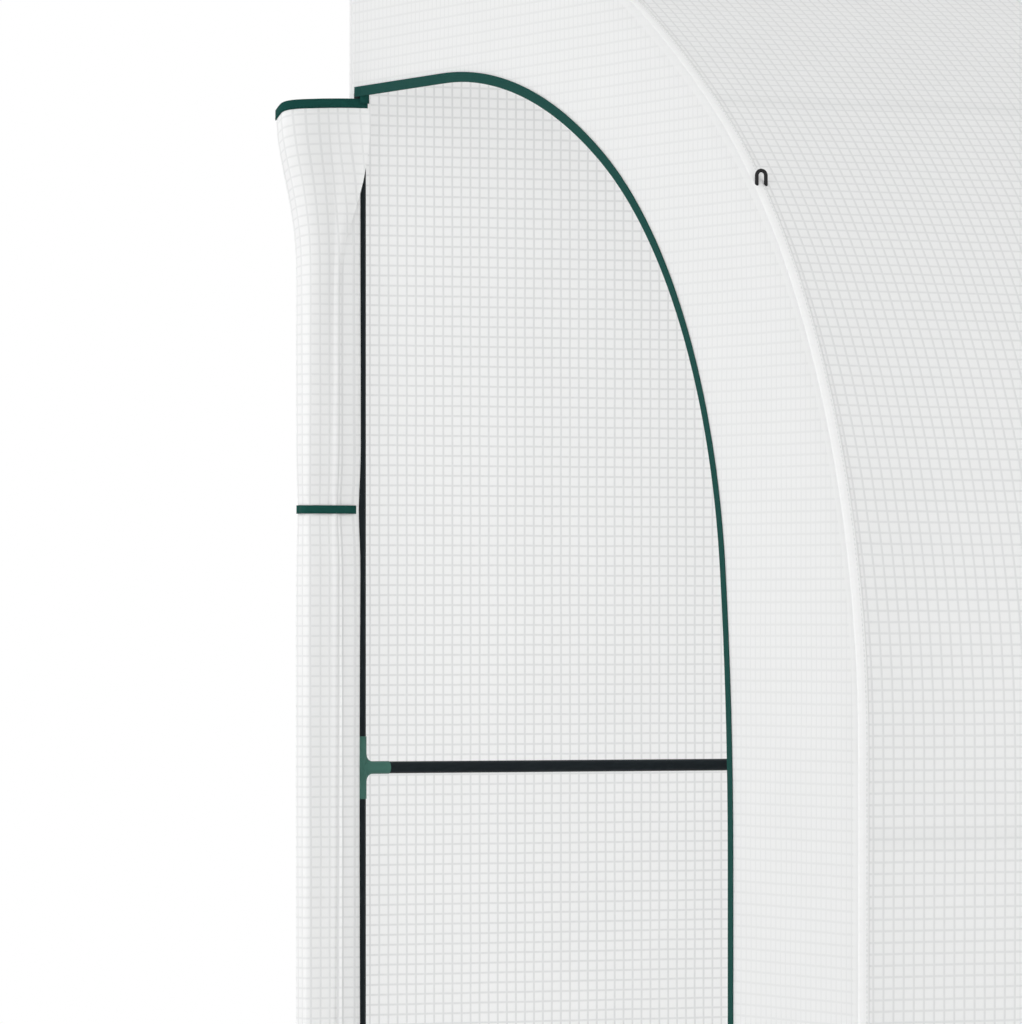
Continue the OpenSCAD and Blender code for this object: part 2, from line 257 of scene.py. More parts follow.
# %% [markdown]
# ## Camera
# A long lens, about 1.16 m above the ground, looks at the near end and along the front. The
# camera is level, and a shift of the lens frames the upper part, so the uprights stay vertical.

# %% Camera
VIEW_TURN = math.radians(24.284)
camera_data = bpy.data.cameras.new("camera")
camera = bpy.data.objects.new("camera", camera_data)
bpy.context.scene.collection.objects.link(camera)
camera.location = (-5.6366, -8.9414, 1.1591)
camera.rotation_euler = (math.pi / 2, 0, -VIEW_TURN)
camera_data.lens = 278.13
camera_data.sensor_width = 36
camera_data.shift_y = 0.1072
camera_data.clip_end = 200
bpy.context.scene.camera = camera
print("camera lens", camera_data.lens)

# %% [markdown]
# ## Writing materials as sums
# A material is a tree of nodes. This small class wraps one output of a node, so that sums on it
# can be written as in plain Python, and each sum adds the Math node that it needs. The method
# `add` makes every other kind of node.


# %% A socket that can be used in sums
class Wire:
    """One output of a node in a material."""

    def __init__(self, tree, out=None):
        self.tree, self.out = tree, out

    def add(self, kind, settings=None, sockets=None, pick=0):
        """Adds a node: its settings first, then the values or links of its sockets."""
        made = self.tree.nodes.new(kind)
        for name, value in (settings or {}).items():
            setattr(made, name, value)
        for key, value in (sockets or {}).items():
            if isinstance(value, Wire):
                self.tree.links.new(value.out, made.inputs[key])
            else:
                made.inputs[key].default_value = value
        return Wire(self.tree, made.outputs[pick] if len(made.outputs) else None)

    def also(self, pick):
        """Another output of the same node."""
        return Wire(self.tree, self.out.node.outputs[pick])

    def sum(self, operation, a, b=0.0, clamp=False):
        settings = {"operation": operation, "use_clamp": clamp}
        return self.add("ShaderNodeMath", settings, {0: a, 1: b})

    def __add__(self, other):
        return self.sum("ADD", self, other)

    def __sub__(self, other):
        return self.sum("SUBTRACT", self, other)

    def __rsub__(self, other):
        return self.sum("SUBTRACT", other, self)

    def __mul__(self, other):
        return self.sum("MULTIPLY", self, other)

    def __truediv__(self, other):
        return self.sum("DIVIDE", self, other)

    __radd__, __rmul__ = __add__, __mul__

    def clamped(self):
        return self.sum("ADD", self, 0.0, clamp=True)

    def largest(self, other):
        return self.sum("MAXIMUM", self, other)

    def sine(self):
        return self.sum("SINE", self)

    def blend(self, a, b):
        """Colour a where this is 0, and colour b where it is 1."""
        return self.add("ShaderNodeMix", {"data_type": "RGBA"}, {0: self, 6: a, 7: b}, 2)


def noise_wire(start, place, scale, detail=2.0):
    """Smooth noise from 0 to 1 with scale lumps in a metre."""
    return start.add("ShaderNodeTexNoise", None,
                     {"Vector": place, "Scale": scale, "Detail": detail})


def new_material(name):
    material = bpy.data.materials.new(name)
    material.use_nodes = True
    material.node_tree.nodes.clear()
    return material, Wire(material.node_tree)


def finish_material(start, colour, height, distance, settings):
    """A Principled surface with a bump, and the material's output."""
    bump = start.add("ShaderNodeBump", None,
                     {"Height": height, "Distance": distance, "Strength": 1.0})
    return start.add("ShaderNodeBsdfPrincipled", None,
                     {"Base Color": colour, "Normal": bump, **settings})


def output(start, surface):
    start.add("ShaderNodeOutputMaterial", None, {"Surface": surface})


print("wires ready")

# %% [markdown]
# ## The reinforced sheet
# The cover is white film with a grid of threads sealed inside it, about 13 mm apart each way.
# The threads must follow the cloth, also where it is gathered, so each piece of cloth carries
# an attribute, `cut`: the place of each point on the flat cloth before it was sewn. Its third
# number is the distance to the nearest sewn edge, where the cloth lies double and the grid
# shows less. Light passes through the film, so a Translucent shader is mixed in. The faint soft
# bands where the frame lies behind the sheet are painted shadow in the film's colour, because
# the frame casts no real shadow on it.

# %% Sheet material
GRID_PITCH, THREAD_W, THREAD_EDGE = 0.01333, 0.0017, 0.0009
SEAM_W = 0.015
SHEET = (0.905, 0.908, 0.906, 1)
SHEET_DOUBLE = (0.925, 0.928, 0.926, 1)
THREAD = (0.735, 0.742, 0.742, 1)
# Grey that the film's cloudy tone and the painted shadow bands darken towards.
SHADOW_AND_CLOUD_GREY = (0.45, 0.47, 0.47, 1)
# Half widths of the painted shadow bands where a bow and a rail lie behind the sheet.
BOW_SHADOW_HALF_W, RAIL_SHADOW_HALF_W = 0.016, 0.018
LIGHT_THROUGH = 0.5
FOLDED_LIGHT_THROUGH = 0.12


def threads(along):
    """1 on the threads across a length, and 0 between them."""
    near = along.sum("PINGPONG", along, GRID_PITCH / 2)
    return ((THREAD_W / 2 + THREAD_EDGE - near) / THREAD_EDGE).clamped()


def soft_band(distance, half_width):
    """1 at a distance of nothing, falling to 0 at half_width."""
    return (1.0 - distance / half_width).clamped()


def sheet_material(name, show_grid, frame_shadow_bands=(), bow_shadow=0.0, frame_shadow_strength=0.03,
                   light_through=LIGHT_THROUGH):
    """show_grid is how strongly the threads show; the rail bands, (axis, place) on the cut, and the bow bands are
    painted shadow of the frame.
    """
    material, start = new_material(name)
    cut = start.add("ShaderNodeAttribute", {"attribute_name": "cut"}, pick=1)
    wander = noise_wire(start, cut, 14.0) * 0.0012 - 0.0006
    across = start.add("ShaderNodeSeparateXYZ", None, {0: cut})
    up, edge = across.also(1), across.also(2)
    grid = threads(across + wander).largest(threads(up - wander) * 0.9)
    double = soft_band(edge - (SEAM_W - 0.003), 0.003)
    cloudy = noise_wire(start, cut, 5.0, 4.0)
    uneven = noise_wire(start, cut, 160.0)
    shown = grid * (show_grid * (0.72 + 0.5 * uneven)) * (1.0 - 0.75 * double)
    film = double.blend(SHEET, SHEET_DOUBLE)
    colour = shown.clamped().blend(film, THREAD)
    # Cloudy tone of the film; painted shadow of the bows and rails is added to it below.
    cloud_and_painted_shadow = cloudy * 0.05
    # Painted shadow: a soft dark band along each bow behind the sheet.
    if bow_shadow:
        near = across.sum("PINGPONG", across + OUTER_BOW_X, BAY / 2)
        cloud_and_painted_shadow = cloud_and_painted_shadow + soft_band(near, BOW_SHADOW_HALF_W) * bow_shadow
    # Painted shadow: a soft dark band along each rail behind the sheet.
    for axis, place in frame_shadow_bands:
        value = (across, up)[axis]
        off = value.sum("ABSOLUTE", value - place)
        cloud_and_painted_shadow = cloud_and_painted_shadow + soft_band(off, RAIL_SHADOW_HALF_W) * frame_shadow_strength
    # Darkens the colour by the cloudy tone and the painted shadow.
    colour = cloud_and_painted_shadow.clamped().blend(colour, SHADOW_AND_CLOUD_GREY)
    folds = noise_wire(start, cut, 9.0, 3.0)
    height = grid * 0.05 + folds
    surface = finish_material(start, colour, height, 0.0025,
                              {"Roughness": 0.42, "Specular IOR Level": 0.3})
    through = start.add("ShaderNodeBsdfTranslucent", None, {"Color": colour})
    output(start, start.add("ShaderNodeMixShader", None,
                            {0: light_through, 1: surface, 2: through}))
    return material


# Painted shadow bands: the front and roof at the ground rail, front rail, purlin and bows, the back at its rails and
# posts, the ends at the ground rail.
roof_finish = sheet_material("sheet_front_roof", 0.74,
                             [(1, GROUND_RAIL_AT), (1, FRONT_RAIL_AT), (1, PURLIN_AT)],
                             0.05, 0.07)
back_finish = sheet_material("sheet_back", 0.95, [(1, GROUND_RAIL_AT), (1, BACK_RAIL_AT)],
                             0.03, 0.02)
end_finish = sheet_material("sheet_ends", 0.38, [(1, GROUND_RAIL_AT)], 0.0, 0.03)
flap_finish = sheet_material("sheet_flaps", 0.58, light_through=FOLDED_LIGHT_THROUGH)
seam_finish = sheet_material("sheet_seams", 0.30, light_through=FOLDED_LIGHT_THROUGH)
print("sheet materials:", [m.name for m in (roof_finish, back_finish, end_finish, flap_finish,
                                            seam_finish)])

# %% [markdown]
# ## Metal, mouldings and tapes
# The tubes have a dark green powder coat with a fine orange-peel skin. The connectors are
# moulded in a lighter green with a matt, slightly cloudy surface. The tapes are woven, so two
# crossing sine waves give them fine ribs. The tubes and connectors are seen directly, but they
# cast no shadow and are left out of the light inside and through the film, because their
# shadows came out far too dark there. The bands painted on the sheets stand in for them.


# %% Materials of the frame, the tapes and the loops
def solid_material(name, colour, dark, scale, bump, roughness, shine):
    """A colour that varies a little, with a fine bump."""
    material, start = new_material(name)
    place = start.add("ShaderNodeTexCoord", pick=3)
    tone = noise_wire(start, place, scale / 12, 3.0).blend(colour, dark)
    fine = noise_wire(start, place, scale)
    rough = roughness + 0.10 * noise_wire(start, place, scale / 20)
    output(start, finish_material(start, tone, fine, bump,
                                  {"Roughness": rough, "Specular IOR Level": shine}))
    return material


def tape_material(name, colour, light, rib):
    """Woven tape with ribs of a pitch in metres."""
    material, start = new_material(name)
    place = start.add("ShaderNodeTexCoord", pick=3)
    x = start.add("ShaderNodeSeparateXYZ", None, {0: place})
    y, z = x.also(1), x.also(2)
    wave = 2 * math.pi / rib
    weave = ((x + y) * wave).sine() * (z * wave).sine() * 0.5 + 0.5
    worn = noise_wire(start, place, 60.0, 3.0)
    tone = (weave * 0.5 + worn * 0.35).clamped().blend(colour, light)
    output(start, finish_material(start, tone, weave + worn, 0.0002,
                                  {"Roughness": 0.80, "Specular IOR Level": 0.06}))
    return material


tube_finish = solid_material("powder_coat", (0.0085, 0.0135, 0.0165, 1),
                             (0.0060, 0.0095, 0.0120, 1), 1400.0, 0.00004, 0.36, 0.12)
moulding_finish = solid_material("moulding", (0.047, 0.142, 0.114, 1),
                                 (0.035, 0.120, 0.092, 1), 700.0, 0.00006, 0.48, 0.25)
tape_finish = tape_material("edging_tape", (0.0065, 0.0520, 0.0440, 1),
                            (0.0130, 0.0740, 0.0620, 1), 0.0016)
tie_finish = tape_material("tie_tape", (0.0070, 0.0560, 0.0450, 1),
                           (0.0140, 0.0800, 0.0650, 1), 0.0012)
cord_finish = tape_material("loop_cord", (0.016, 0.016, 0.017, 1),
                            (0.040, 0.040, 0.042, 1), 0.0015)
thread_green = tape_material("thread_green", (0.014, 0.085, 0.070, 1),
                             (0.024, 0.110, 0.092, 1), 0.0006)
thread_white = tape_material("thread_white", (0.72, 0.73, 0.73, 1),
                             (0.82, 0.83, 0.83, 1), 0.0006)

FINISH_OF_SLOT = {"frame_tube": tube_finish, "connector": moulding_finish,
                  "loop_cord": cord_finish, "binding": tape_finish, "tie_webbing": tie_finish}
slot_of = {s["node"]: s["material_slot"] for s in frame["record"]["subparts"]}
for node_name, node in frame["nodes"].items():
    finish = FINISH_OF_SLOT.get(slot_of[node_name])
    if finish:
        node.data.materials.clear()
        node.data.materials.append(finish)
    if slot_of[node_name] in ("frame_tube", "connector"):
        node.visible_diffuse = node.visible_transmission = node.visible_shadow = False
print("finished nodes:", sum(slot_of[n] in FINISH_OF_SLOT for n in frame["nodes"]))

# %% [markdown]
# ## Making cloth
# Every cloth is a grid of points. One function says where a point lies in the room, and another
# where it lay on the flat cloth. The film is a fifth of a millimetre thick, so a wide sheet is
# a single layer of faces, and light passes through it once, as through the real film. Tapes
# and seams get a thickness from a Solidify modifier, and the result becomes a plain mesh.

# %% Cloth from a grid of points
def link(name, mesh):
    made = bpy.data.objects.new(name, mesh)
    bpy.context.scene.collection.objects.link(made)
    return made


def plain(made):
    """Turns an object with modifiers into a plain mesh."""
    graph = bpy.context.evaluated_depsgraph_get()
    mesh = bpy.data.meshes.new_from_object(made.evaluated_get(graph))
    made.modifiers.clear()
    made.data = mesh
    return made


def cloth(name, columns, rows, place, cut, material, flip=False, thickness=0.0):
    """place(i, j) gives a point in the room, cut(i, j) the same point on the flat cloth."""
    ids = [(i, j) for j in range(rows + 1) for i in range(columns + 1)]
    points = [place(i, j) for i, j in ids]
    faces = []
    for j in range(rows):
        for i in range(columns):
            a = j * (columns + 1) + i
            face = [a, a + 1, a + columns + 2, a + columns + 1]
            faces.append(face[::-1] if flip else face)
    mesh = bpy.data.meshes.new(name)
    mesh.from_pydata(points, [], faces)
    flat = mesh.attributes.new("cut", "FLOAT_VECTOR", "POINT")
    flat.data.foreach_set("vector", [c for i, j in ids for c in cut(i, j)])
    mesh.polygons.foreach_set("use_smooth", [True] * len(faces))
    mesh.materials.append(material)
    made = link(name, mesh)
    if thickness:
        solid = made.modifiers.new("thickness", "SOLIDIFY")
        solid.thickness, solid.offset = thickness, -1
        plain(made)
    print(name, len(made.data.polygons), "faces")
    return made


def settle(made, slot, *nodes):
    """Every piece of this greenhouse moves with its one body."""
    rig.ride(made, "root")
    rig.slot(made, slot)
    if nodes:
        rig.replaces(made, *nodes)
    return made


def sway(u, v, scale, seed):
    """Smooth random number from -1 to 1 at a place on the cloth."""
    return noise.noise(Vector((u * scale, v * scale, seed)))


print("cloth tools ready")

# %% [markdown]
# ## Front and roof sheet
# One sheet runs from the ground, up the front and over the bows to the wall. It is pulled
# tight, so it lies on the tubes and sinks by only a few millimetres in the middle of each
# field between them.

# %% Front and roof sheet
FIELD_EDGES = (0.0, GROUND_RAIL_AT, FRONT_RAIL_AT, PURLIN_AT, PROFILE_LEN)
SHEET_T = 0.0015
ROOF_COLUMNS, ROOF_ROWS = 120, 150


def field_sink(x, s):
    """How far the sheet sinks between the tubes round a field."""
    across = abs(math.sin(math.pi * (x + OUTER_BOW_X) / BAY))
    for low, high in zip(FIELD_EDGES, FIELD_EDGES[1:]):
        if low <= s <= high:
            along = math.sin(math.pi * (s - low) / (high - low))
            return 0.004 * min(1.0, (high - low)) * math.sqrt(across) * along
    return 0.0


def roof_uv(i, j):
    return (-1 + 2 * i / ROOF_COLUMNS) * (HALF_L - SHEET_T), PROFILE_LEN * j / ROOF_ROWS


def roof_place(i, j):
    x, s = roof_uv(i, j)
    (y, z), (oy, oz) = profile(s)
    inside = min(1.0, (HALF_L - abs(x)) / 0.1)
    sink = field_sink(x, s) + 0.0006 * inside * (1 + sway(x, s, 6.0, 1.5))
    return x, min(y - sink * oy, WALL_Y - SHEET_T), z - sink * oz


def roof_cut(i, j):
    x, s = roof_uv(i, j)
    return x, s, HALF_L - abs(x)


roof_sheet = cloth("front_roof_sheet", ROOF_COLUMNS, ROOF_ROWS, roof_place, roof_cut,
                   roof_finish)
settle(roof_sheet, "cover_sheet", "cover_front_roof")

# %% [markdown]
# ## Back sheet
# The back is flat against the wall out to both ends, and its edge there is where the
# doorway begins.

# %% Back sheet
BACK_COLUMNS, BACK_ROWS = 100, 72


def back_place(i, j):
    x, z = (-1 + 2 * i / BACK_COLUMNS) * HALF_L, TOP_Z * j / BACK_ROWS
    inside = min(1.0, (HALF_L - abs(x)) / 0.1, z / 0.1, (TOP_Z - z) / 0.1)
    return x, WALL_Y - 0.0004 * inside * (1 + sway(x, z, 5.0, 7.5)), z


def back_cut(i, j):
    x, z = (-1 + 2 * i / BACK_COLUMNS) * HALF_L, TOP_Z * j / BACK_ROWS
    return x + 0.004, z + 0.005, HALF_L - abs(x)


back_sheet = cloth("back_sheet", BACK_COLUMNS, BACK_ROWS, back_place, back_cut,
                   back_finish, flip=True)
settle(back_sheet, "cover_sheet", "cover_back")

# %% [markdown]
# ## End sheets
# Each end is one sheet with the doorway cut out of it. It is made as a band between two curves,
# the roof's outline and the doorway's edge, with the same number of points on both.

# %% End sheets
END_COLUMNS, END_ROWS = 14, 220
outer_edge = spaced([profile(PROFILE_LEN * k / 400)[0] for k in range(401)], END_ROWS)[0]
inner_edge = spaced(doorway_curve(DOOR_TUCK), END_ROWS)[0]


def end_sheet(side, sign):
    def place_yz(i, j):
        return outer_edge[j].lerp(inner_edge[j], i / END_COLUMNS)

    def place(i, j):
        y, z = place_yz(i, j)
        share = i / END_COLUMNS
        slack = math.sin(math.pi * share) * min(1.0, z / 0.2)
        sink = 0.0002 + 0.0011 * slack * (1 + sway(y, z, 9.0, 3.5 * sign))
        return sign * (HALF_L - sink), min(y, WALL_Y - SHEET_T), z

    def cut(i, j):
        y, z = place_yz(i, j)
        return y, z + 0.004, (outer_edge[j] - Vector((y, z))).length

    made = cloth(f"{side}_end_sheet", END_COLUMNS, END_ROWS, place, cut, end_finish,
                 flip=sign > 0)
    return settle(made, "cover_sheet", f"{side}_end_side_panel", f"{side}_end_top_panel")


end_sheets = {side: end_sheet(side, sign) for side, sign in ENDS.items()}

# %% [markdown]
# ## Door flaps
# Each door is a sheet that has been undone, pulled to the wall side and folded round and
# round into a flat bundle outside the corner post. Seen from above, the cloth is a flattened
# spiral of five turns. Its free edge lies at the post near the top and moves outwards below,
# where the bundle narrows, so a thin dark line shows down the front. A tie pulls in its waist.

# %% Door flaps
FLAP_LOW, FLAP_TOP = 0.020, TOP_Z - DOOR_DROP - 0.017
FLAP_W, FLAP_HEAD_W, FLAP_T = 0.080, 0.110, 0.0365
GATHER, TIE_Z, TURNS, LAYER = 0.25, 1.308, 5.0, 0.0032
TURN_STEPS, FREE_STEPS, FLAP_ROWS = 36, 8, 84
FLAP_COLUMNS = FREE_STEPS + round(TURNS * TURN_STEPS)
WAIST_H, WAIST_PULL_W, WAIST_PULL_T = 0.045, 0.003, 0.0075
BOXINESS = 0.42


def ease(value):
    value = min(1.0, max(0.0, value))
    return value * value * (3 - 2 * value)


def flap_size(z):
    """Half width and half thickness of the bundle, and where its free edge lies."""
    head = ease((z - (FLAP_TOP - GATHER)) / GATHER) ** 1.6
    waist = math.exp(-(((z - TIE_Z) / WAIST_H) ** 2))
    width = FLAP_W + (FLAP_HEAD_W - FLAP_W) * head - WAIST_PULL_W * waist
    thick = FLAP_T - WAIST_PULL_T * waist
    free = 0.026 - 0.036 * ease((z - 1.60) / 0.22)
    return width / 2, thick / 2, free


def rounded(value):
    """Pulls a sine or cosine outwards, so that a circle becomes a box with round corners."""
    return math.copysign(abs(value) ** BOXINESS, value)


def bundle(i, z):
    """Place on the bundle: how far out from the post, and how far from the wall."""
    half_w, half_t, free = flap_size(z)
    if i < FREE_STEPS:
        share = i / FREE_STEPS
        lift = 0.0012 * (1 - share) ** 2
        return free + (half_w - free) * share, 2 * half_t - 0.0004 + lift * 0.3
    turned = (i - FREE_STEPS) / TURN_STEPS
    angle = math.pi / 2 - 2 * math.pi * turned
    inset = 0.0012 * min(turned, 1.0) + LAYER * max(turned - 1.0, 0.0)
    out = half_w + (half_w - inset) * rounded(math.cos(angle))
    front = half_t + max(half_t - inset, 0.0008) * rounded(math.sin(angle))
    return out, front


def flap_drop_at(out, front, half_w, half_t):
    share = min(1.0, max(0.0, out / (2 * half_w)))
    return 0.005 * share**2 + 0.017 * share**5 * (1 - front / (2 * half_t))


def flap_height(j):
    return FLAP_LOW + (FLAP_TOP - FLAP_LOW) * j / FLAP_ROWS


def flap_point(sign, i, z, push=0.0):
    """Point of the flap's cloth in the room; push moves it outwards from the bundle."""
    out, front = bundle(i, z)
    half_w, half_t, _ = flap_size(z)
    near_top = ease((z - (FLAP_TOP - 0.35)) / 0.35)
    low = z - flap_drop_at(out, front, half_w, half_t) * near_top
    pleat = 0.0012 * sway(i * 0.11, z, 2.2, 11.5) + 0.0009 * math.sin(i * 0.9 + 3 * z)
    by_post = ease((front / (2 * half_t) - 0.62) / 0.2) * ease((0.022 - out) / 0.022)
    out -= 0.0060 * by_post
    dx, dy = out - half_w, front - half_t
    length = max(math.hypot(dx, dy), 1e-6)
    calm = min(1.0, length / 0.01) * (1 - 0.8 * ease((z - FLAP_TOP + 0.05) / 0.04))
    out += dx / length * (pleat * calm + push)
    front += dy / length * (pleat * calm + push)
    front = max(front, 0.0004)
    return sign * (HALF_L + 0.0008 + out), WALL_Y - 0.0006 - front, low


flap_along = [0.0]
for step in range(1, FLAP_COLUMNS + 1):
    a, b = bundle(step - 1, 1.0), bundle(step, 1.0)
    flap_along.append(flap_along[-1] + math.dist(a, b))


def door_flap(side, sign):
    def place(i, j):
        return flap_point(sign, i, flap_height(j))

    def cut(i, j):
        z = flap_height(j)
        along = flap_along[i]
        if i < FREE_STEPS:
            along = flap_along[FREE_STEPS] - (flap_size(z)[0] - bundle(i, z)[0])
        return along - 0.0045, z + 0.006, 1.0

    made = cloth(f"{side}_flap_sheet", FLAP_COLUMNS, FLAP_ROWS, place, cut, flap_finish,
                 flip=sign < 0)
    return settle(made, "flap_sheet", f"{side}_door_flap")


flaps = {side: door_flap(side, sign) for side, sign in ENDS.items()}
print("cloth round the bundle:", round(flap_along[-1], 3), "m")

# %% [markdown]
# ## Tapes on the flap
# A folded tape binds the flap's top edge. It follows the outer turn of the bundle, runs on to
# the post, and a short tab joins it to the end of the tape round the doorway. The tie is a
# strap round the waist.

# %% Top tape, tab and tie of each flap
TAPE_H, TAPE_OUT = 0.0125, 0.0009
TAPE_COLUMNS = FREE_STEPS + round(0.78 * TURN_STEPS)


def ribbon(name, columns, place, sign, material, thickness):
    """A narrow band of tape, three rows high."""
    return cloth(name, columns, 3, place, lambda i, j: (i * 0.003, j * 0.004, 1.0), material,
                 flip=sign < 0, thickness=thickness)


def flap_tape(side, sign):
    def place(i, j):
        z = FLAP_TOP + 0.0004 - TAPE_H * (1 - j / 3)
        if i == 0:
            x, y, low = flap_point(sign, 1, z, TAPE_OUT)
            return sign * (HALF_L - 0.0105), y, low
        x, y, low = flap_point(sign, i, FLAP_TOP, TAPE_OUT)
        return x, y, low - FLAP_TOP + z

    made = ribbon(f"{side}_flap_tape", TAPE_COLUMNS, place, sign, tape_finish, 0.0014)
    return settle(made, "binding")


def flap_tab(side, sign):
    top, low = TOP_Z - DOOR_DROP - 0.001, FLAP_TOP - 0.006

    def place(i, j):
        share = i / 3
        x = sign * (HALF_L + 0.0012 - 0.0125 * share)
        bow = 0.0012 * math.sin(math.pi * share)
        return x, WALL_Y - 0.0385 - bow, low + (top - low) * j / 3

    made = ribbon(f"{side}_flap_tab", 3, place, sign, tape_finish, 0.0012)
    return settle(made, "binding")


TIE_W, TIE_T = 0.011, 0.0012
TIE_STEPS = 64


def flap_tie(side, sign):
    half_w, half_t, _ = flap_size(TIE_Z)

    def place(i, j):
        angle = 2 * math.pi * i / TIE_STEPS
        out = half_w + (half_w + 0.0016) * rounded(math.cos(angle))
        front = half_t + (half_t + 0.0013) * rounded(math.sin(angle))
        z = TIE_Z + TIE_W * (j / 3 - 0.5)
        return sign * (HALF_L + 0.0016 + out), WALL_Y - 0.0016 - max(front, 0.0), z

    made = ribbon(f"{side}_flap_tie_strap", TIE_STEPS, place, -sign, tie_finish, TIE_T)
    return settle(made, "tie_webbing", f"{side}_flap_tie")


flap_tapes = {}
for side, sign in ENDS.items():
    flap_tapes[side] = [flap_tape(side, sign), flap_tab(side, sign), flap_tie(side, sign)]
print("flap tapes:", sum(len(v) for v in flap_tapes.values()))

# %% [markdown]
# ## Seams
# Where the front and roof sheet meets an end, the edges are turned in and sewn together. A
# narrow band of the same sheet shows there, a little thicker than the rest.

# %% Corner seams
SEAM_COLUMNS, SEAM_ROWS = 6, 200


def corner_seam(side, sign):
    def place(i, j):
        share = i / SEAM_COLUMNS
        (y, z), (oy, oz) = profile(PROFILE_LEN * j / SEAM_ROWS)
        lift = 0.0001 + 0.0006 * math.sin(math.pi * share)
        x = sign * (HALF_L - SHEET_T * 0.2 - SEAM_W * share)
        return x, min(y + lift * oy, WALL_Y - SHEET_T), z + lift * oz

    def cut(i, j):
        return HALF_L - SEAM_W * i / SEAM_COLUMNS, PROFILE_LEN * j / SEAM_ROWS, SEAM_W * 0.3

    made = cloth(f"{side}_corner_seam", SEAM_COLUMNS, SEAM_ROWS, place, cut, seam_finish,
                 flip=sign > 0, thickness=0.0004)
    return settle(made, "cover_sheet")


seams = {side: corner_seam(side, sign) for side, sign in ENDS.items()}

# %% [markdown]
# ## Stitches
# A row of stitches is one small shape repeated along a path, which is what Geometry Nodes are
# for. The tree turns the path into a curve, puts a point at every stitch, lays a slim rounded
# thread on each point along the curve, makes the copies real and gives them their finish.

# %% A tree that sews along a path
def stitch_tree():
    tree = bpy.data.node_groups.new("stitches_on_a_path", "GeometryNodeTree")
    face = tree.interface
    face.new_socket("Path", in_out="INPUT", socket_type="NodeSocketGeometry")
    for name in ("Pitch", "Stitch length", "Thread radius"):
        face.new_socket(name, in_out="INPUT", socket_type="NodeSocketFloat")
    face.new_socket("Thread", in_out="INPUT", socket_type="NodeSocketMaterial")
    face.new_socket("Stitches", in_out="OUTPUT", socket_type="NodeSocketGeometry")
    add, join = tree.nodes.new, tree.links.new
    given, result = add("NodeGroupInput"), add("NodeGroupOutput")
    curve, points = add("GeometryNodeMeshToCurve"), add("GeometryNodeResampleCurve")
    points.mode = "LENGTH"
    along, turn = add("GeometryNodeInputTangent"), add("FunctionNodeAlignRotationToVector")
    turn.axis = "X"
    ball, size = add("GeometryNodeMeshUVSphere"), add("ShaderNodeCombineXYZ")
    ball.inputs["Segments"].default_value, ball.inputs["Rings"].default_value = 6, 4
    ball.inputs["Radius"].default_value = 1.0
    shaped, copies = add("GeometryNodeTransform"), add("GeometryNodeInstanceOnPoints")
    real, coat = add("GeometryNodeRealizeInstances"), add("GeometryNodeSetMaterial")
    half = add("ShaderNodeMath")
    half.operation = "MULTIPLY"
    half.inputs[1].default_value = 0.5
    join(given.outputs["Path"], curve.inputs["Mesh"])
    join(curve.outputs["Curve"], points.inputs["Curve"])
    join(given.outputs["Pitch"], points.inputs["Length"])
    join(given.outputs["Stitch length"], half.inputs[0])
    join(half.outputs[0], size.inputs["X"])
    join(given.outputs["Thread radius"], size.inputs["Y"])
    join(given.outputs["Thread radius"], size.inputs["Z"])
    join(ball.outputs["Mesh"], shaped.inputs["Geometry"])
    join(size.outputs["Vector"], shaped.inputs["Scale"])
    join(along.outputs["Tangent"], turn.inputs["Vector"])
    join(points.outputs["Curve"], copies.inputs["Points"])
    join(shaped.outputs["Geometry"], copies.inputs["Instance"])
    join(turn.outputs["Rotation"], copies.inputs["Rotation"])
    join(copies.outputs["Instances"], real.inputs["Geometry"])
    join(real.outputs["Geometry"], coat.inputs["Geometry"])
    join(given.outputs["Thread"], coat.inputs["Material"])
    join(coat.outputs["Geometry"], result.inputs["Stitches"])
    return tree


SEWING = stitch_tree()
SEWING_INPUTS = {i.name: i.identifier for i in SEWING.interface.items_tree
                 if i.item_type == "SOCKET" and i.in_out == "INPUT"}


def stitches(name, path, thread, slot, pitch=0.006, length=0.0042, radius=0.0005):
    """Sews along a path of points and returns the stitches as a plain mesh."""
    mesh = bpy.data.meshes.new(name)
    mesh.from_pydata([tuple(p) for p in path], [(k, k + 1) for k in range(len(path) - 1)], [])
    made = link(name, mesh)
    sewing = made.modifiers.new("sewing", "NODES")
    sewing.node_group = SEWING
    values = {"Pitch": pitch, "Stitch length": length, "Thread radius": radius,
              "Thread": thread}
    for key, value in values.items():
        sewing[SEWING_INPUTS[key]] = value
    plain(made)
    made.data.polygons.foreach_set("use_smooth", [True] * len(made.data.polygons))
    print(name, len(made.data.polygons), "faces")
    return settle(made, slot)


# %% Stitches on the doorway tapes, the seams and the flap tapes
BINDING_T = 0.0009 + 0.0003
FINE = {"pitch": 0.005, "length": 0.0034, "radius": 0.00035}
SEAM_STITCHES = 300
for side, sign in ENDS.items():
    edge = doorway_curve(0.0033)
    edge = [p for p in edge if p[0] < WALL_Y - 0.020]
    face_x = sign * (HALF_L + BINDING_T)
    stitches(f"{side}_doorway_stitches", [(face_x, y, z) for y, z in spaced(edge, 240)[0]],
             thread_green, "binding", **FINE)
    row = []
    for k in range(SEAM_STITCHES + 1):
        (y, z), (oy, oz) = profile(0.01 + (PROFILE_LEN - 0.02) * k / SEAM_STITCHES)
        row.append((sign * (HALF_L - 0.0115), y + 0.0008 * oy, z + 0.0008 * oz))
    stitches(f"{side}_seam_stitches", row, thread_white, "cover_sheet")
    row = []
    for i in range(1, TAPE_COLUMNS - 6):
        x, y, z = flap_point(sign, i, FLAP_TOP, TAPE_OUT + 0.0002)
        row.append((x, y, z - TAPE_H + 0.003))
    stitches(f"{side}_flap_tape_stitches", row, thread_green, "binding", **FINE)

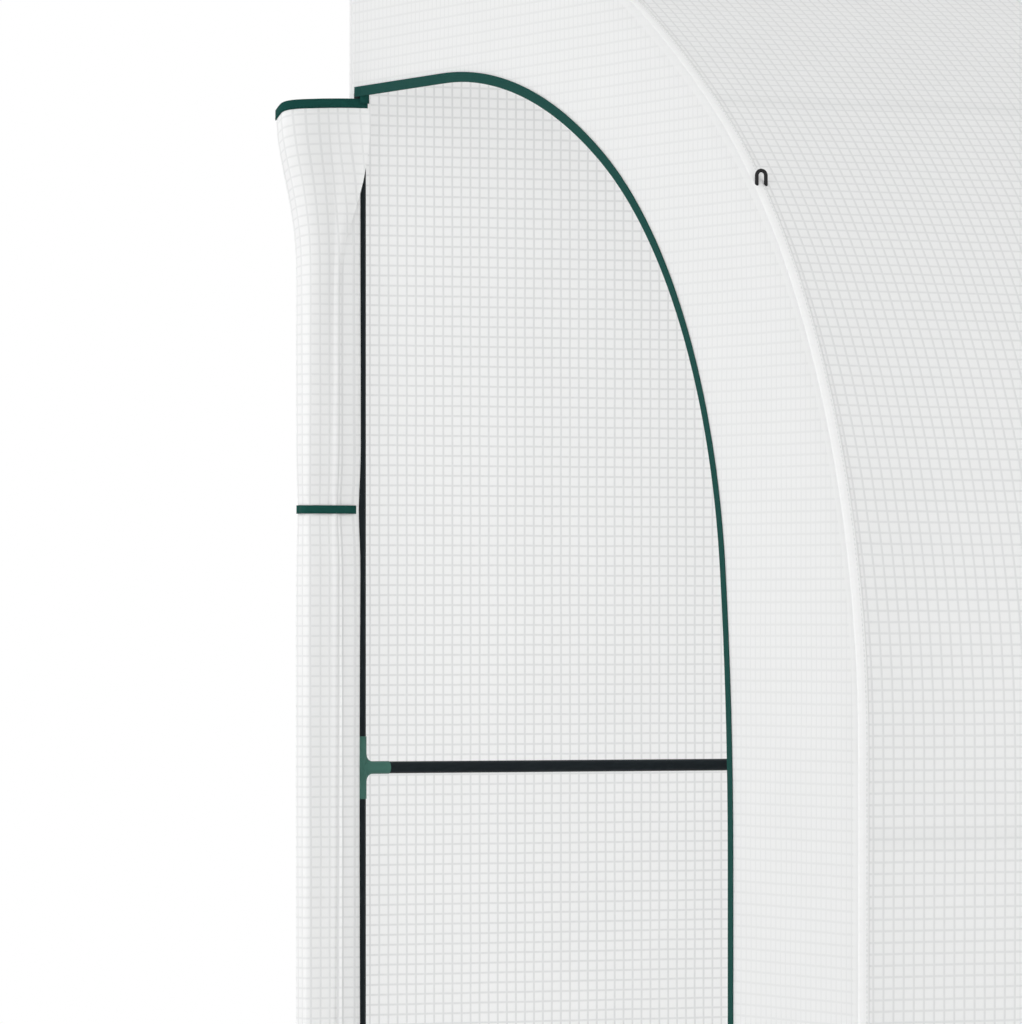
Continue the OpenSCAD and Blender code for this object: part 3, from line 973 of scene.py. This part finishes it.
# %% [markdown]
# ## Hems along the ground
# The lower edges are turned up and sewn, so a slim double band runs along the ground.

# %% Ground hems
HEM_H, HEM_COLUMNS, HEM_OUT = 0.028, 60, 0.0006


def hem(name, start, end, flip):
    """Band of sheet along the ground between two points (x, y), just outside the cover."""
    def place(i, j):
        x, y = (a + (b - a) * i / HEM_COLUMNS for a, b in zip(start, end))
        return x, y, 0.001 + HEM_H * j / 3

    def cut(i, j):
        return math.dist(start, end) * i / HEM_COLUMNS, HEM_H * j / 3, 0.004

    return settle(cloth(name, HEM_COLUMNS, 3, place, cut, seam_finish, flip=flip,
                        thickness=0.0004), "cover_sheet")


hem_y = FRONT_Y - HEM_OUT
hems = [hem("front_hem", (-HALF_L, hem_y), (HALF_L, hem_y), False)]
hem_row = [(HALF_L * (k / 50 - 1), hem_y - 0.0002, HEM_H - 0.004) for k in range(101)]
stitches("front_hem_stitches", hem_row, thread_white, "cover_sheet")
for side, sign in ENDS.items():
    x = sign * (HALF_L + 0.0002)
    hems.append(hem(f"{side}_end_hem", (x, FRONT_Y), (x, FRONT_Y + DOOR_FROM_FRONT), sign < 0))

# %% [markdown]
# ## Saying what is cloth
# Each sheet is declared with the size that it was cut to. The sheets of the ends and the doors
# aren't rectangles, so their flat area is given too.

def area_of(made):
    return sum(p.area for p in made.data.polygons)


END_CUT, DOOR_CUT = (1.02, 2.52), (1.16, 1.85)
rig.sheet(roof_sheet, flat=(2 * HALF_L, PROFILE_LEN), held="stretched",
         rests_on=["front_bow_1", "roof_bow_1", "roof_purlins"],
         with_pieces=[seams["left"], seams["right"], hems[0]])
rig.sheet(back_sheet, flat=(2 * HALF_L, TOP_Z), held="stretched",
         rests_on=["back_post_1", "ridge_rails"])
for side in ENDS:
    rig.sheet(end_sheets[side], flat=END_CUT, area=round(area_of(end_sheets[side]), 3),
             held="stretched", rests_on=[f"front_bow_{1 if side == 'left' else 4}"])
    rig.sheet(flaps[side], flat=DOOR_CUT, area=1.94, held="gathered",
             rests_on=[f"back_post_{1 if side == 'left' else 4}"],
             with_pieces=flap_tapes[side])
print("end sheet area", round(area_of(end_sheets["left"]), 3), "flap cloth",
      round(area_of(flaps["left"]), 3))

# %% [markdown]
# ## Floor, lamps and surroundings
# The greenhouse stands on a plain pale floor that fades into a white surround. A white sky,
# weaker overhead than at the horizon, gives the soft studio light. Three broad suns light the
# near end, the front and the wall side.


# %% Floor
def seen_rays(start):
    """1 for what the camera sees directly, in a reflection or through a surface."""
    rays = start.add("ShaderNodeLightPath")
    return rays.largest(rays.also(3)).largest(rays.also(6))


FLOOR_HALF = 60.0
floor = link("floor", bpy.data.meshes.new("floor"))
floor.data.from_pydata([(-FLOOR_HALF, -FLOOR_HALF, 0), (FLOOR_HALF, -FLOOR_HALF, 0),
                        (FLOOR_HALF, FLOOR_HALF, 0), (-FLOOR_HALF, FLOOR_HALF, 0)], [],
                       [(0, 1, 2, 3)])
floor.location.z = -0.0005
floor_material, start = new_material("floor_pale")
place = start.add("ShaderNodeTexCoord", pick=3)
away = start.add("ShaderNodeVectorMath", {"operation": "LENGTH"}, {0: place}, 1)
fade = ((away - 2.6) / 3.2).clamped()
seen = seen_rays(start)
matt = start.add("ShaderNodeBsdfDiffuse", None, {"Color": (0.90, 0.90, 0.90, 1)})
white = start.add("ShaderNodeEmission", None, {"Color": (1, 1, 1, 1), "Strength": 1.0})
output(start, start.add("ShaderNodeMixShader", None, {0: fade * seen, 1: matt, 2: white}))
floor.data.materials.append(floor_material)
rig.stage(floor)
print("floor ready")

# %% Lamps and surroundings
world = bpy.data.worlds.new("surround")
bpy.context.scene.world = world
world.use_nodes = True
world.node_tree.nodes.clear()
sky = Wire(world.node_tree)
SKY_LIGHT = 1.08
seen = seen_rays(sky)
direction = sky.add("ShaderNodeTexCoord", pick=0)
upward = sky.add("ShaderNodeSeparateXYZ", None, {0: direction}, 2).clamped()
light = sky.add("ShaderNodeBackground", None,
                {"Color": (1, 1, 1, 1), "Strength": SKY_LIGHT * (1.06 - 0.50 * upward)})
shown = sky.add("ShaderNodeBackground", None, {"Color": (1, 1, 1, 1), "Strength": 1.0})
mixed = sky.add("ShaderNodeMixShader", None, {0: seen, 1: light, 2: shown})
sky.add("ShaderNodeOutputWorld", None, {"Surface": mixed})


def sun(name, direction, strength, softness):
    data = bpy.data.lights.new(name, "SUN")
    data.energy, data.angle = strength, math.radians(softness)
    made = bpy.data.objects.new(name, data)
    made.rotation_euler = Vector(direction).to_track_quat("-Z", "Y").to_euler()
    bpy.context.scene.collection.objects.link(made)
    return made


sun("left_lamp", (1.0, 0.30, -0.25), 0.72, 40)
sun("front_lamp", (0.5, 0.85, -0.10), 0.70, 50)
sun("wall_side_lamp", (0.1, -1.0, -0.10), 0.40, 50)
bpy.context.scene.view_settings.view_transform = "Standard"
print("sky", SKY_LIGHT)

# %% Write the sizes and finish
new_low, new_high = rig.bounds()
with open("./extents.json", "w") as size_file:
    json.dump([[list(cad_low), list(cad_high)], [list(new_low), list(new_high)]], size_file)
print("visual box:", tuple(new_low), tuple(new_high))
